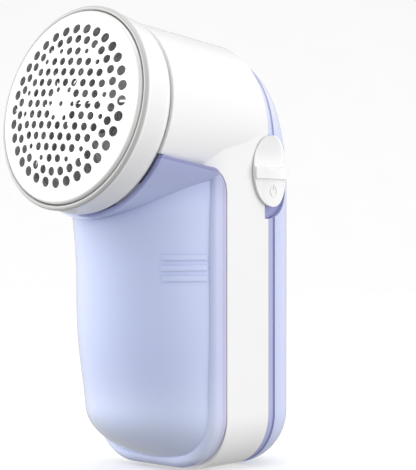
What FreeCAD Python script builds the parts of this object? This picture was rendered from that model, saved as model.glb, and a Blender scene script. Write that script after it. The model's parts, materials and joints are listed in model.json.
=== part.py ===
"""Rechargeable fabric shaver, as an assembly of separate named pieces.

Frame: X is the width, with the power slider on the +X side. -Y is the front, where the
foil and the lint bin are. +Z is up, and the flat of the base lies in Z = 0. Millimetres.

The shaving head has a frame of its own: its Z axis is the spindle, pointing out through
the foil, and its origin is the middle of the foil's outer ring of holes.
"""
import FreeCAD, Part
import math
import os

import Sketcher
from FreeCAD import Placement, Rotation, Vector

doc = FreeCAD.newDocument("fabric_shaver")

# --------------------------------------------------------------------------------------
# Driving dimensions
# --------------------------------------------------------------------------------------

SIZES = {
    # body shell
    "half_width": 26.0,          # half of the body's width
    "corner": 17.0,              # radius of the two bottom corners
    "arch_height": 106.6,        # height of the centre of the round top
    "bin_plane": -4.0,           # front face of the housing, which the bin slides on
    "split_plane": 15.0,         # where the front housing meets the back cover
    "back_plane": 34.1,          # rearmost point of the back cover
    "back_round": 16.0,          # rounding of the back cover's rear edge
    "back_sweep": 60.0,          # curve that brings the upper back forward to the top
    "sweep_height": 87.9,        # height where that curve starts
    "lean": 1.5,                 # how far the parting leans forward above the shoulders
    "lean_low": 100.0,
    "lean_high": 118.0,
    "strip_width": 3.1,          # shallow strip along the back cover's front edge
    "strip_depth": 0.45,
    "wall": 2.0,                 # thickness of the housing's walls
    "step_gap": 0.35,            # gap between the bin and the housing
    # neck
    "neck_front_radius": 29.8,
    "neck_front_depth": -13.8,   # neck's front edge, in the head's frame
    "step_front": 95.9,          # parting of bin and neck: height at Y = -40
    "step_back": 92.4,           # the same at the start of its round corner
    "step_corner": 8.0,          # radius of that round corner
    "saddle_front": 31.0,        # radius of the bin's saddle round the neck, in front
    "saddle_back": 31.2,         # the same at the parting plane
    "fairing_front": -14.5,      # where the housing's sides have curved in to the neck
    "fairing_half_width": 23.5,
    # head frame
    "head_forward": -45.0,
    "head_height": 109.6,
    "tilt": 10.3,                # the head looks up by this many degrees
    # foil
    "foil_radius": 28.9,
    "foil_crown": 2.1,           # height of the dome's middle
    "dome_radius": 126.0,
    "foil_gauge": 0.35,
    "foil_shoulder": 28.0,
    "skirt_end": -6.6,
    "hole_pitch": 3.67,
    "hole_radius": 1.2,
    "fine_hole_radius": 0.8,
    "outer_ring": 22.94,
    "outer_hole": 1.5,
    "second_ring": 19.7,
    "second_hole": 1.3,
    # foil frame and retaining ring
    "flange_radius": 29.6,
    "flange_base": -7.7,
    "frame_inner": 26.4,
    "ring_radius": 30.6,
    "ring_front": -1.9,
    "trim_back": -3.0,           # where the grey trim ring meets the white ring
    "ring_back": -13.4,
    "ring_bore": 27.9,
    # cutter chamber
    "collar_radius": 27.6,
    "collar_front": -9.0,
    "collar_back": -15.0,
    "collar_bore": 24.6,
    "cup_bore": 22.8,
    "cup_back": -26.0,
    "cup_floor": -24.0,
    "groove_radius": 25.8,
    "tube_bore": 10.2,
    "tube_radius": 11.8,
    "tube_back": -50.0,
    # motor
    "motor_radius": 10.0,
    "motor_back": -52.0,
    "shaft_radius": 1.0,
    "cap_back": -55.0,
    # cutter
    "boss_radius": 3.2,
    "boss_front": -9.0,
    "boss_base": -19.0,
    "hub_radius": 6.0,
    "hub_front": -3.4,
    "hub_back": -13.0,
    "blade_reach": 24.0,
    "blade_gauge": 0.6,
    "blade_gap": 0.3,
    # lint bin
    "bin_width": 24.8,
    "bin_wall": 1.8,
    "bin_base": 1.2,
    "rim_front": -10.6,
    "rim_round": 3.2,
    # power slider
    "slider_height": 91.7,
    "slider_middle": 16.0,
    "slider_long": 11.0,
    "slider_short": 8.6,
    "slider_gap": 0.25,          # gap between the slider and the shell
    "slider_face": 27.0,
    "ridge_rise": 0.8,           # height of the thumb ridge above the face
    # battery
    "cell_radius": 9.1,
    "cell_length": 65.0,
    "cell_base": 18.2,
    "cell_middle": 22.0,
    # electronics
    "board_front": 9.6,
    "board_gauge": 1.6,
    "socket_width": 7.5,
    "socket_depth": 2.5,
    "socket_base": 1.0,
    "socket_length": 5.9,
    "screw_side": 19.5,
    "screw_low": 27.0,
    "screw_high": 74.0,
}

sheet = doc.addObject("Spreadsheet::Sheet", "Sizes")
for row, (alias, number_in_cell) in enumerate(SIZES.items(), start=1):
    sheet.set(f"A{row}", alias)
    sheet.set(f"B{row}", str(number_in_cell))
    sheet.setAlias(f"B{row}", alias)
doc.recompute()


class Size:
    """A number together with the sheet expression that it comes from."""

    def __init__(self, value, text):
        self.value = value
        self.text = text

    def __add__(self, other):
        return Size(self.value + number(other), f"({self.text} + {words(other)})")

    __radd__ = __add__

    def __sub__(self, other):
        return Size(self.value - number(other), f"({self.text} - {words(other)})")

    def __mul__(self, other):
        return Size(self.value * number(other), f"({self.text} * {words(other)})")

    def __truediv__(self, other):
        return Size(self.value / number(other), f"({self.text} / {words(other)})")

    def __neg__(self):
        return Size(-self.value, f"(0 - {self.text})")


def number(size):
    """The plain number of a Size or of a number."""
    return size.value if isinstance(size, Size) else float(size)


def words(size):
    """The sheet expression of a Size or of a number."""
    return size.text if isinstance(size, Size) else repr(float(size))


class Sheet:
    """Each driving dimension by its alias, as a Size."""

    def __getattr__(self, alias):
        return Size(SIZES[alias], f"Sizes.{alias}")


S = Sheet()
HEAD = Placement(
    Vector(0, SIZES["head_forward"], SIZES["head_height"]),
    Rotation(Vector(1, 0, 0), 90 - SIZES["tilt"]),
)


# --------------------------------------------------------------------------------------
# Document helpers
# --------------------------------------------------------------------------------------


def bind(thing, prop, size):
    """Set a property, and bind it to the sheet where it comes from there."""
    if isinstance(size, Size):
        thing.setExpression(prop, size.text)


def put_in_head(thing):
    """Place an object in the shaving head's frame."""
    thing.Placement = HEAD
    thing.setExpression("Placement.Base.y", "Sizes.head_forward")
    thing.setExpression("Placement.Base.z", "Sizes.head_height")
    thing.setExpression("Placement.Rotation.Angle", "90 - Sizes.tilt")
    return thing


def new_body(label):
    """An empty PartDesign body."""
    body = doc.addObject("PartDesign::Body", label)
    body.Label = label
    return body


def new_sketch(body, role, away=0.0):
    """A sketch on one of the body's own origin planes, moved along its normal."""
    sketch = body.newObject("Sketcher::SketchObject", body.Name + "_sketch")
    plane = [f for f in body.Origin.OriginFeatures if f.Role == role][0]
    sketch.AttachmentSupport = (plane, "")
    sketch.MapMode = "FlatFace"
    sketch.AttachmentOffset = Placement(Vector(0, 0, number(away)), Rotation())
    bind(sketch, "AttachmentOffset.Base.z", away)
    return sketch


def fix(sketch, kind, items, size):
    """Add one dimension to a sketch, bound to the sheet where it comes from there."""
    index = sketch.addConstraint(Sketcher.Constraint(kind, *items, number(size)))
    bind(sketch, f"Constraints[{index}]", size)


def arc_middle(start, end, radius):
    """Middle of the short arc from start to end: positive radius turns left."""
    chord = end - start
    half = chord.Length / 2
    rise = abs(radius) - math.sqrt(max(radius * radius - half * half, 0.0))
    side = Vector(chord.y, -chord.x, 0).normalize() * math.copysign(rise, radius)
    return (start + end) * 0.5 + side


def outline(sketch, points, arcs=None):
    """A closed outline: lines between the points, or an arc where arcs gives a radius.

    arcs maps the index of an edge's first point to its radius, positive for a left turn.
    """
    arcs = arcs or {}
    places = [Vector(number(x), number(y), 0) for x, y in points]
    count = len(points)
    ends = []
    for index, start in enumerate(places):
        end = places[(index + 1) % count]
        if index in arcs:
            middle = arc_middle(start, end, number(arcs[index]))
            edge = sketch.addGeometry(Part.Arc(start, middle, end), False)
            swapped = sketch.getPoint(edge, 1).distanceToPoint(start) > 1e-6
            ends.append((edge, 2, 1) if swapped else (edge, 1, 2))
        else:
            edge = sketch.addGeometry(Part.LineSegment(start, end), False)
            ends.append((edge, 1, 2))
    for index, (edge, first, last) in enumerate(ends):
        following, its_first, _ = ends[(index + 1) % count]
        join = Sketcher.Constraint("Coincident", edge, last, following, its_first)
        sketch.addConstraint(join)
        fix(sketch, "DistanceX", (-1, 1, edge, first), points[index][0])
        fix(sketch, "DistanceY", (-1, 1, edge, first), points[index][1])
        if index in arcs:
            radius = arcs[index]
            start = places[index]
            end = places[(index + 1) % count]
            if abs(start.distanceToPoint(end) - 2 * abs(number(radius))) < 1e-6:
                flat = abs(start.y - end.y) < 1e-6
                level = "DistanceY" if flat else "DistanceX"
                fix(sketch, level, (edge, first, edge, 3), 0.0)
            else:
                size = radius if number(radius) > 0 else radius * -1
                fix(sketch, "Radius", (edge,), size)


def turned(label, points, arcs=None):
    """A body turned about its own Z axis from an outline of (radius, height) points."""
    body = new_body(label)
    sketch = new_sketch(body, "XZ_Plane")
    outline(sketch, points, arcs)
    turn = body.newObject("PartDesign::Revolution", label + "_turn")
    turn.Profile = sketch
    turn.ReferenceAxis = (sketch, ["V_Axis"])
    turn.Angle = 360
    return body


def plate(label, role, away, depth, points, arcs=None, both=False):
    """A body padded from an outline on one of its origin planes."""
    body = new_body(label)
    sketch = new_sketch(body, role, away)
    outline(sketch, points, arcs)
    pad = body.newObject("PartDesign::Pad", label + "_pad")
    pad.Profile = sketch
    pad.Length = number(depth)
    bind(pad, "Length", depth)
    pad.Midplane = both
    return body


def rectangle(left, low, right, high):
    """Corner points of a rectangle."""
    return [(left, low), (right, low), (right, high), (left, high)]


def box(label, low, high):
    """A Part box between two corners."""
    thing = doc.addObject("Part::Box", label)
    for name, axis, a, b in zip(("Length", "Width", "Height"), "xyz", low, high):
        setattr(thing, name, number(b) - number(a))
        if isinstance(b, Size):
            bind(thing, name, b - a)
        elif isinstance(a, Size):
            bind(thing, name, -a + b)
        bind(thing, "Placement.Base." + axis, a)
    thing.Placement = Placement(Vector(*[number(v) for v in low]), Rotation())
    return thing


def rod(label, radius, length, base=(0, 0, 0), along=(0, 0, 1)):
    """A Part cylinder from its base point, along an axis."""
    thing = doc.addObject("Part::Cylinder", label)
    thing.Radius = number(radius)
    thing.Height = number(length)
    bind(thing, "Radius", radius)
    bind(thing, "Height", length)
    spin = Rotation(Vector(0, 0, 1), Vector(*along))
    thing.Placement = Placement(Vector(*[number(v) for v in base]), spin)
    for axis, place in zip("xyz", base):
        bind(thing, "Placement.Base." + axis, place)
    return thing


def gathered(kind, label, shapes):
    """A fuse, common or compound of document objects."""
    thing = doc.addObject(kind, label)
    thing.Label = label
    if kind == "Part::Compound":
        thing.Links = shapes
    else:
        thing.Shapes = shapes
    return thing


def fuse(label, *shapes):
    return gathered("Part::MultiFuse", label, list(shapes))


def common(label, *shapes):
    return gathered("Part::MultiCommon", label, list(shapes))


def group(label, *shapes):
    return gathered("Part::Compound", label, list(shapes))


def cut(label, base, *tools):
    """The base with every tool cut out of it."""
    tool = tools[0] if len(tools) == 1 else fuse(label + "_tools", *tools)
    thing = doc.addObject("Part::Cut", label)
    thing.Label = label
    thing.Base = base
    thing.Tool = tool
    return thing


def feature(label, shape, placement=None):
    """A plain feature that holds a shape made with Part's own functions."""
    thing = doc.addObject("Part::Feature", label)
    thing.Label = label
    thing.Shape = shape
    if placement is not None:
        thing.Placement = placement
    return thing


NODES = []


def node(thing):
    """Keep an object as one of the assembly's sub-parts."""
    NODES.append(thing)
    return thing


# --------------------------------------------------------------------------------------
# Shared outlines of the body
# --------------------------------------------------------------------------------------


def tombstone(inset, lift=0.0):
    """The body's front outline: flat base, round corners, straight sides, round top."""
    side = S.half_width - inset
    corner = S.corner - inset
    foot = S.half_width - S.corner
    low = inset + lift
    knee = S.corner + lift
    points = [
        (-foot, low),
        (foot, low),
        (side, knee),
        (side, S.arch_height),
        (-side, S.arch_height),
        (-side, knee),
    ]
    return points, {1: corner, 3: side, 5: corner}


def slab(label, inset, front, back, lift=0.0):
    """The tombstone outline between two planes across Y."""
    points, arcs = tombstone(inset, lift)
    return plate(label, "XZ_Plane", -back, back - front, points, arcs)


def cone(label, mouth_radius, top_radius):
    """A cone from a round mouth square to the spindle to a circle in the parting plane."""
    body = new_body(label)
    mouth = new_sketch(body, "XZ_Plane")
    depth = S.neck_front_depth
    tilt = math.radians(SIZES["tilt"])
    forward = SIZES["head_forward"] - depth.value * math.cos(tilt)
    height = SIZES["head_height"] + depth.value * math.sin(tilt)
    mouth.AttachmentOffset = Placement(
        Vector(0, height, -forward), Rotation(Vector(1, 0, 0), -SIZES["tilt"])
    )
    reach = "AttachmentOffset."
    mouth.setExpression(
        reach + "Base.y",
        "Sizes.head_height + Sizes.neck_front_depth * sin(Sizes.tilt * 1deg)",
    )
    mouth.setExpression(
        reach + "Base.z",
        "Sizes.neck_front_depth * cos(Sizes.tilt * 1deg) - Sizes.head_forward",
    )
    mouth.addGeometry(Part.Circle(Vector(0, 0, 0), Vector(0, 0, 1), 20), False)
    mouth.addConstraint(Sketcher.Constraint("Coincident", 0, 3, -1, 1))
    fix(mouth, "Radius", (0,), mouth_radius)
    top = new_sketch(body, "XZ_Plane", -S.split_plane)
    start = Vector(0, SIZES["arch_height"], 0)
    top.addGeometry(Part.Circle(start, Vector(0, 0, 1), 20), False)
    fix(top, "DistanceX", (-1, 1, 0, 3), 0.0)
    fix(top, "DistanceY", (-1, 1, 0, 3), S.arch_height)
    fix(top, "Radius", (0,), top_radius)
    loft = body.newObject("PartDesign::AdditiveLoft", label + "_loft")
    loft.Profile = mouth
    loft.Sections = [top]
    return body


def neck(label, inset):
    """The neck: from its round mouth behind the ring to the body's round top."""
    return cone(label, S.neck_front_radius - inset, S.half_width - inset)


def saddle(label, inset):
    """The lower half of a sleeve round the neck, which the bin carries."""
    return cone(label, S.saddle_front - inset, S.saddle_back - inset)


def parting_zone(label, behind=0.0):
    """Everything in front of the housing's parting, or of a line that far behind it.

    The parting is upright, and leans forward in a slight S above the shoulders.
    """
    low = S.split_plane + behind
    high = low - S.lean
    middle = (low + high) / 2
    level = (S.lean_low + S.lean_high) / 2
    run = (SIZES["lean_high"] - SIZES["lean_low"]) / 2
    step = SIZES["lean"] / 2
    bend = (run ** 2 + step ** 2) / (2 * step)
    points = [
        (-80.0, -10.0),
        (low, -10.0),
        (low, S.lean_low),
        (middle, level),
        (high, S.lean_high),
        (high, 150.0),
        (-80.0, 150.0),
    ]
    return plate(label, "YZ_Plane", 0.0, 80.0, points, {2: bend, 3: -bend}, both=True)


def step_zone(label, gap):
    """Everything below and in front of the line where the bin parts from the neck."""
    line = S.bin_plane - gap
    turn = line - S.step_corner
    high = S.step_back - gap
    points = [
        (-70.0, -10.0),
        (line, -10.0),
        (line, high - S.step_corner),
        (turn, high),
        (-40.0, S.step_front - gap),
        (-70.0, S.step_front - gap + 2.6),
    ]
    return plate(label, "YZ_Plane", 0.0, 80.0, points, {2: S.step_corner}, both=True)


# --------------------------------------------------------------------------------------
# Front housing: neck, white band and the wall behind the bin
# --------------------------------------------------------------------------------------

SCREW_PLACES = [
    (side * SIZES["screw_side"], height)
    for side in (-1, 1)
    for height in (SIZES["screw_low"], SIZES["screw_high"])
]
BACK = (0, 1, 0)
RECESS_DEPTH = 2.6               # of the round recess that each housing screw's head is in


def screw_rods(label, radius, front, length):
    """One rod along Y at each housing screw."""
    rods = []
    for index, (side, height) in enumerate(SCREW_PLACES, start=1):
        base = (side, front, height)
        rods.append(rod(f"{label}_{index}", radius, length, base, BACK))
    return rods


def shelf(label):
    """Floor of the motor space, which follows the parting line 1.8 mm above it."""
    line = S.bin_plane
    turn = line - S.step_corner
    thick = 1.8
    points = [
        (-27.0, S.step_back + 1.87),
        (turn, S.step_back),
        (line, S.step_back - S.step_corner),
        (line + S.wall, S.step_back - S.step_corner),
        (turn, S.step_back + thick),
        (-27.0, S.step_back + thick + 1.87),
    ]
    arcs = {1: S.step_corner * -1, 3: S.step_corner + 1.9}
    strip = plate(label + "_strip", "YZ_Plane", 0.0, 60.0, points, arcs, both=True)
    return common(label, strip, neck(label + "_limit", 0.8))


def fairing():
    """Block whose sides curve in from the flat band to the neck, above the bin's corner."""
    back = S.bin_plane + 0.5
    inward = number(S.half_width - S.fairing_half_width)
    along = number(back - S.fairing_front)
    bend = (inward ** 2 + along ** 2) / (2 * inward)
    points = [
        (-S.half_width, back),
        (-S.fairing_half_width, S.fairing_front),
        (S.fairing_half_width, S.fairing_front),
        (S.half_width, back),
    ]
    return plate("fairing", "XY_Plane", 82.0, 20.0, points, {0: bend, 2: bend})


def front_housing():
    band = slab("band", 0.0, S.bin_plane, S.split_plane)
    blended = fuse("front_blended", band, neck("neck_outside", 0.0), fairing())
    outside = common("front_outside", blended, parting_zone("front_parting_zone"))
    above = cut("front_above_step", outside, step_zone("front_step_zone", 0.0))
    hollow = slab("band_hollow", S.wall, S.bin_plane + S.wall, S.split_plane + 1.0)
    inside = fuse("front_inside", hollow, neck("neck_inside", 1.8))
    shell = cut("front_shell", above, inside)
    long = S.split_plane - S.bin_plane - 0.5
    bosses = screw_rods("front_boss", 3.3, S.bin_plane + 0.5, long)
    solid = fuse("front_solid", shell, shelf("motor_shelf"), *bosses)
    tools = screw_rods("front_bore", 1.7, S.bin_plane - 1.0, 30.0)
    tools += screw_rods("front_recess", 3.1, S.bin_plane - 1.0, 1.0 + RECESS_DEPTH)
    rooms = fuse(
        "head_rooms",
        rod("tube_room", S.tube_radius + 0.15, 50.0, (0, 0, -60.0)),
        rod("cup_room", S.cup_bore + 1.95, 20.0, (0, 0, S.cup_back - 0.15)),
    )
    socket = box(
        "socket_mouth",
        (-4.3, S.board_front - S.socket_depth - 0.6, -1.0),
        (4.3, S.board_front + 0.6, 4.0),
    )
    tools += [put_in_head(rooms), socket, slider_window("front_window")]
    return cut("front_housing", solid, *tools)


def slider_window(label, gap=0.0):
    """The opening in the shell beside the slider, straight in front, round behind."""
    low = S.slider_height - 14.7 + gap
    front = S.slider_middle - 2.7 + gap
    back = S.slider_middle + 8.6 - gap
    points = [
        (front, low),
        (front + 1.5, low),
        (back, low + 9.8),
        (back, S.slider_height + 8.0),
        (front, S.slider_height + 8.0),
    ]
    return plate(label, "YZ_Plane", 20.0, 10.0, points, {1: 9.9})


# --------------------------------------------------------------------------------------
# Back cover
# --------------------------------------------------------------------------------------


def rounded_shell(label, inset):
    """The body with its upper back swept forward and its rear edge rounded."""
    points, arcs = tombstone(inset)
    back = S.back_plane - inset
    body = plate(label, "XZ_Plane", -back, back, points, arcs)
    sweep = S.back_sweep - inset
    centre = S.back_plane - S.back_sweep
    above = 142.0
    reach = math.sqrt(number(sweep) ** 2 - (above - SIZES["sweep_height"]) ** 2)
    sketch = new_sketch(body, "YZ_Plane")
    corners = [
        (back, S.sweep_height),
        (back + 20.0, S.sweep_height),
        (back + 20.0, above),
        (centre + reach, above),
    ]
    outline(sketch, corners, {3: -sweep})
    pocket = body.newObject("PartDesign::Pocket", label + "_sweep")
    pocket.Profile = sketch
    pocket.Type = "ThroughAll"
    pocket.Midplane = True
    doc.recompute()
    rounding = body.newObject("PartDesign::Fillet", label + "_round")
    rounding.Base = (pocket, rear_edges(pocket.Shape))
    rounding.Radius = number(S.back_round - inset)
    bind(rounding, "Radius", S.back_round - inset)
    return body


def rear_edges(shape):
    """Names of the edges between the shape's sides and its back."""
    names = []
    for index, edge in enumerate(shape.Edges, start=1):
        ends = [vertex.Point for vertex in edge.Vertexes]
        middle = edge.valueAt((edge.FirstParameter + edge.LastParameter) / 2)
        places = ends + [middle]
        heights = [place.z for place in places]
        behind = min(place.y for place in places) > 10.0
        seam = max(heights) - min(heights) < 1e-3 and min(heights) > 50.0
        if behind and not seam:
            names.append(f"Edge{index}")
    return names


def back_cover():
    edge_strip = cut(
        "back_strip",
        rounded_shell("back_strip_shell", S.strip_depth),
        parting_zone("back_parting_zone"),
    )
    main = cut(
        "back_main",
        rounded_shell("back_main_shell", 0.0),
        parting_zone("back_main_zone", S.strip_width),
    )
    outside = fuse("back_outside", edge_strip, main)
    shell = cut("back_shell", outside, rounded_shell("back_inside", S.wall))
    bosses = common(
        "back_bosses",
        fuse("back_boss_rods", *screw_rods("back_boss", 3.3, S.split_plane, 17.0)),
        rounded_shell("back_limit", S.wall - 0.5),
    )
    solid = fuse("back_solid", shell, bosses)
    tools = screw_rods("back_bore", 1.5, S.split_plane - 1.0, 9.5)
    tools.append(slider_window("back_window"))
    return cut("back_cover", solid, *tools)


# --------------------------------------------------------------------------------------
# Lint bin
# --------------------------------------------------------------------------------------

# How far the bin reaches in front of the housing, by height above the base.
BIN_REACH = [(2.6, 3.2), (4.5, 7.4), (9.9, 17.0), (15.0, 22.6), (22.0, 25.0), (32.0, 27.1),
             (55.7, 29.4), (74.7, 31.0), (96.0, 31.6)]


def bin_half_width(height):
    """Half width of the bin's tongue: straight sides over round bottom corners."""
    corner = SIZES["corner"]
    centre = SIZES["bin_base"] + corner
    straight = SIZES["bin_width"] - corner
    if height >= centre:
        return SIZES["bin_width"]
    return straight + math.sqrt(corner ** 2 - (centre - height) ** 2)


def half_ellipse(wide, reach, height, back):
    """A closed half ellipse, bulging forward from the housing's front face."""
    front = SIZES["bin_plane"]
    arc = Part.Arc(Vector(-1, 0, 0), Vector(0, -1, 0), Vector(1, 0, 0)).toBSpline()
    for index in range(1, arc.NbPoles + 1):
        pole = arc.getPole(index)
        arc.setPole(index, Vector(pole.x * wide, front + pole.y * reach, height))
    left = Vector(-wide, front, height)
    right = Vector(wide, front, height)
    far_right = Vector(wide, back, height)
    far_left = Vector(-wide, back, height)
    edges = [
        arc.toShape(),
        Part.makeLine(right, far_right),
        Part.makeLine(far_right, far_left),
        Part.makeLine(far_left, left),
    ]
    return Part.Wire(edges)


def tongue(grow, lift=0.0):
    """The bin's smooth front: half ellipses stacked up the height, grown by grow."""
    rings = []
    for height, reach in BIN_REACH:
        wide = bin_half_width(height) + grow
        rings.append(half_ellipse(wide, reach + grow, height + lift, SIZES["bin_plane"] + 2))
    return Part.makeLoft(rings, True, False)


def grip_ribs():
    """Three slim grip ribs on each side of the bin, standing 0.25 mm proud."""
    proud = tongue(0.25)
    bars = []
    for height in (59.2, 62.3, 65.4):
        for side in (-1, 1):
            start = Vector(min(0, side * 30), -24.2, height - 0.8)
            bars.append(Part.makeBox(30, 13.2, 1.6, start))
    return proud.common(Part.makeCompound(bars))


def lint_bin():
    front = S.bin_plane - S.step_gap
    rim = slab("bin_rim_plate", 0.0, S.rim_front, front, S.bin_base)
    doc.recompute()
    pad = rim.Group[-1]
    edges = []
    for index, edge in enumerate(pad.Shape.Edges, start=1):
        if all(abs(v.Point.y - SIZES["rim_front"]) < 1e-6 for v in edge.Vertexes):
            edges.append(f"Edge{index}")
    bead = rim.newObject("PartDesign::Fillet", "bin_rim_round")
    bead.Base = (pad, edges)
    bead.Radius = SIZES["rim_round"]
    bind(bead, "Radius", S.rim_round)
    outside = fuse(
        "bin_outside",
        feature("bin_tongue", tongue(0.0)),
        rim,
        saddle("bin_saddle", 0.0),
        feature("bin_ribs", grip_ribs()),
    )
    below = common("bin_below_step", outside, step_zone("bin_step_zone", S.step_gap))
    hollow = feature("bin_hollow", tongue(-SIZES["bin_wall"], SIZES["bin_wall"]))
    ahead = box("ahead_of_neck", (-40.0, -50.0, S.neck_front_depth), (40.0, 50.0, 30.0))
    in_front = put_in_head(group("ahead_of_neck_group", ahead))
    return cut("lint_bin", below, hollow, saddle("bin_neck_room", S.bin_wall), in_front)


# --------------------------------------------------------------------------------------
# Shaving head: foil, frame, ring and chamber
# --------------------------------------------------------------------------------------


def dome_height(radius, drop=0.0):
    """Height of the foil's outer face, or of a face drop below it, at a radius."""
    ball = SIZES["dome_radius"] - drop
    crown = SIZES["foil_crown"] - drop
    return crown - (ball - math.sqrt(ball ** 2 - radius ** 2))


def foil_holes():
    """Pins for the foil's holes: a hexagonal field and two rings of 32."""
    pitch = SIZES["hole_pitch"]
    skew = math.radians(-4.5)
    spots = []
    for row in range(-6, 7):
        for column in range(-6, 7):
            x = (column + (row % 2) / 2) * pitch
            y = row * pitch * math.sqrt(3) / 2
            far = math.hypot(x, y)
            if far > 4.6 * pitch or 0.1 < far < 1.1 * pitch:
                continue
            fine = far < 0.1 or far > 4.5 * pitch
            size = SIZES["fine_hole_radius"] if fine else SIZES["hole_radius"]
            spots.append((far, math.atan2(y, x) + skew, size))
    for step in range(6):
        spots.append((1.3 * pitch, math.radians(60 * step) + skew, SIZES["fine_hole_radius"]))
    for step in range(32):
        angle = 2 * math.pi * step / 32
        spots.append((SIZES["outer_ring"], angle, SIZES["outer_hole"]))
        spots.append((SIZES["second_ring"], angle + math.pi / 32, SIZES["second_hole"]))
    pins = []
    for far, angle, size in spots:
        base = Vector(far * math.cos(angle), far * math.sin(angle), -4)
        pins.append(Part.makeCylinder(size, 8, base))
    return Part.makeCompound(pins)


def foil_guard():
    inner = S.foil_radius - S.foil_gauge
    shoulder_in = S.foil_shoulder - 0.15
    drop = SIZES["foil_gauge"]
    edge_out = dome_height(SIZES["foil_shoulder"])
    edge_in = dome_height(SIZES["foil_shoulder"] - 0.15, drop)
    points = [
        (0.0, S.foil_crown - S.foil_gauge),
        (shoulder_in, edge_in),
        (inner, -2.1),
        (inner, S.skirt_end),
        (S.foil_radius, S.skirt_end),
        (S.foil_radius, -2.0),
        (S.foil_shoulder, edge_out),
        (0.0, S.foil_crown),
    ]
    ball = S.dome_radius
    arcs = {0: (ball - S.foil_gauge) * -1, 1: -0.75, 5: 1.1, 6: ball}
    dome = turned("foil_dome", points, arcs)
    pins = feature("foil_pins", foil_holes())
    return put_in_head(cut("foil_guard", dome, pins))


def foil_frame():
    outer = S.foil_radius - S.foil_gauge
    points = [
        (S.frame_inner, S.skirt_end),
        (24.9, S.skirt_end),
        (24.9, S.flange_base),
        (S.flange_radius, S.flange_base),
        (S.flange_radius, S.skirt_end),
        (outer, S.skirt_end),
        (outer, -2.6),
        (outer - 0.8, -1.9),
        (S.frame_inner, -1.9),
    ]
    carrier = turned("frame_carrier", points)
    legs = []
    for step in range(3):
        leg = plate(f"frame_leg_{step}", "XY_Plane", -13.6, 6.5, rectangle(24.95, -3.0, 25.55, 3.0))
        leg.Placement = Placement(Vector(), Rotation(Vector(0, 0, 1), 90 + 120 * step))
        legs.append(leg)
    return put_in_head(fuse("foil_frame", carrier, *legs))


def head_ring():
    outer = S.ring_radius
    points = [
        (S.ring_bore, S.ring_back),
        (outer - 1.9, S.ring_back),
        (outer - 0.4, S.ring_back + 2.9),
        (outer - 0.25, -5.0),
        (outer, S.trim_back),
        (S.foil_radius + 0.3, S.trim_back),
        (S.foil_radius + 0.3, S.skirt_end + 0.35),
        (S.flange_radius + 0.3, S.skirt_end + 0.35),
        (S.flange_radius + 0.3, S.flange_base - 0.3),
        (S.ring_bore, S.flange_base - 0.3),
    ]
    arcs = {1: 3.55, 3: -4.0}
    return put_in_head(turned("head_ring", points, arcs))


def ring_trim():
    """Satin grey trim pressed on the ring's front, level with the foil's shoulder."""
    outer = S.ring_radius
    points = [
        (S.foil_radius + 0.3, S.trim_back),
        (outer, S.trim_back),
        (outer - 0.75, S.ring_front),
        (S.foil_radius + 0.6, S.ring_front),
        (S.foil_radius + 0.3, S.ring_front - 0.35),
    ]
    return put_in_head(turned("ring_trim", points, {1: 0.95}))


def cutter_chamber():
    step = S.collar_back
    points = [
        (2.6, S.cup_floor),
        (S.cup_bore, S.cup_floor),
        (S.cup_bore, step + 1.8),
        (S.collar_bore, step + 1.8),
        (S.collar_bore, S.collar_front),
        (S.collar_radius, S.collar_front),
        (S.collar_radius, step),
        (S.cup_bore + 1.8, step),
        (S.cup_bore + 1.8, S.cup_back),
        (S.tube_radius, S.cup_back),
        (S.tube_radius, S.tube_back),
        (S.tube_bore, S.tube_back),
        (S.tube_bore, S.cup_back),
        (2.6, S.cup_back),
    ]
    cup = turned("chamber_cup", points)
    grooves = []
    for index in range(3):
        section = rectangle(22.0, -3.3, S.groove_radius, 3.3)
        groove = plate(f"chamber_groove_{index}", "XY_Plane", S.collar_back + 1.0, 8.0, section)
        groove.Placement = Placement(Vector(), Rotation(Vector(0, 0, 1), 90 + 120 * index))
        grooves.append(groove)
    outlet = box(
        "chamber_outlet",
        (-15.0, -27.0, S.cup_floor + 0.4),
        (15.0, -13.0, S.collar_back - 0.2),
    )
    screws = [
        rod(f"chamber_screw_bore_{side}", 1.1, 4.0, (side * 6.5, 0.0, S.cup_back - 1.0))
        for side in (-1, 1)
    ]
    return put_in_head(cut("cutter_chamber", cup, outlet, *grooves, *screws))


# --------------------------------------------------------------------------------------
# Motor
# --------------------------------------------------------------------------------------

BRUSH_PLACE = 7.0


def motor_can():
    inner = S.motor_radius - 1.0
    front = S.cup_back
    points = [
        (1.9, front + 1.6),
        (2.5, front + 1.6),
        (2.5, front - 0.02),
        (S.motor_radius - 0.6, front - 0.02),
        (S.motor_radius, front - 0.6),
        (S.motor_radius, S.motor_back),
        (inner, S.motor_back),
        (inner, front - 1.0),
        (1.9, front - 1.0),
    ]
    can = turned("motor_case", points)
    bores = [
        rod(f"motor_screw_bore_{side}", 0.9, 3.0, (side * 6.5, 0.0, S.cup_back - 2.0))
        for side in (-1, 1)
    ]
    return put_in_head(cut("motor_can", can, *bores))


def motor_end_cap():
    points = [
        (1.9, S.motor_back),
        (S.motor_radius, S.motor_back),
        (S.motor_radius, S.cap_back + 0.6),
        (S.motor_radius - 0.6, S.cap_back),
        (3.4, S.cap_back),
        (3.4, S.cap_back - 0.9),
        (1.9, S.cap_back - 0.9),
    ]
    cap = turned("motor_cap_disc", points)
    slots = []
    for side in (-1, 1):
        low = (side * BRUSH_PLACE - 0.9, -1.6, S.cap_back - 1)
        high = (side * BRUSH_PLACE + 0.9, 1.6, S.motor_back + 1)
        slots.append(box(f"brush_slot_{side}", low, high))
    return put_in_head(cut("motor_end_cap", cap, *slots))


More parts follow.
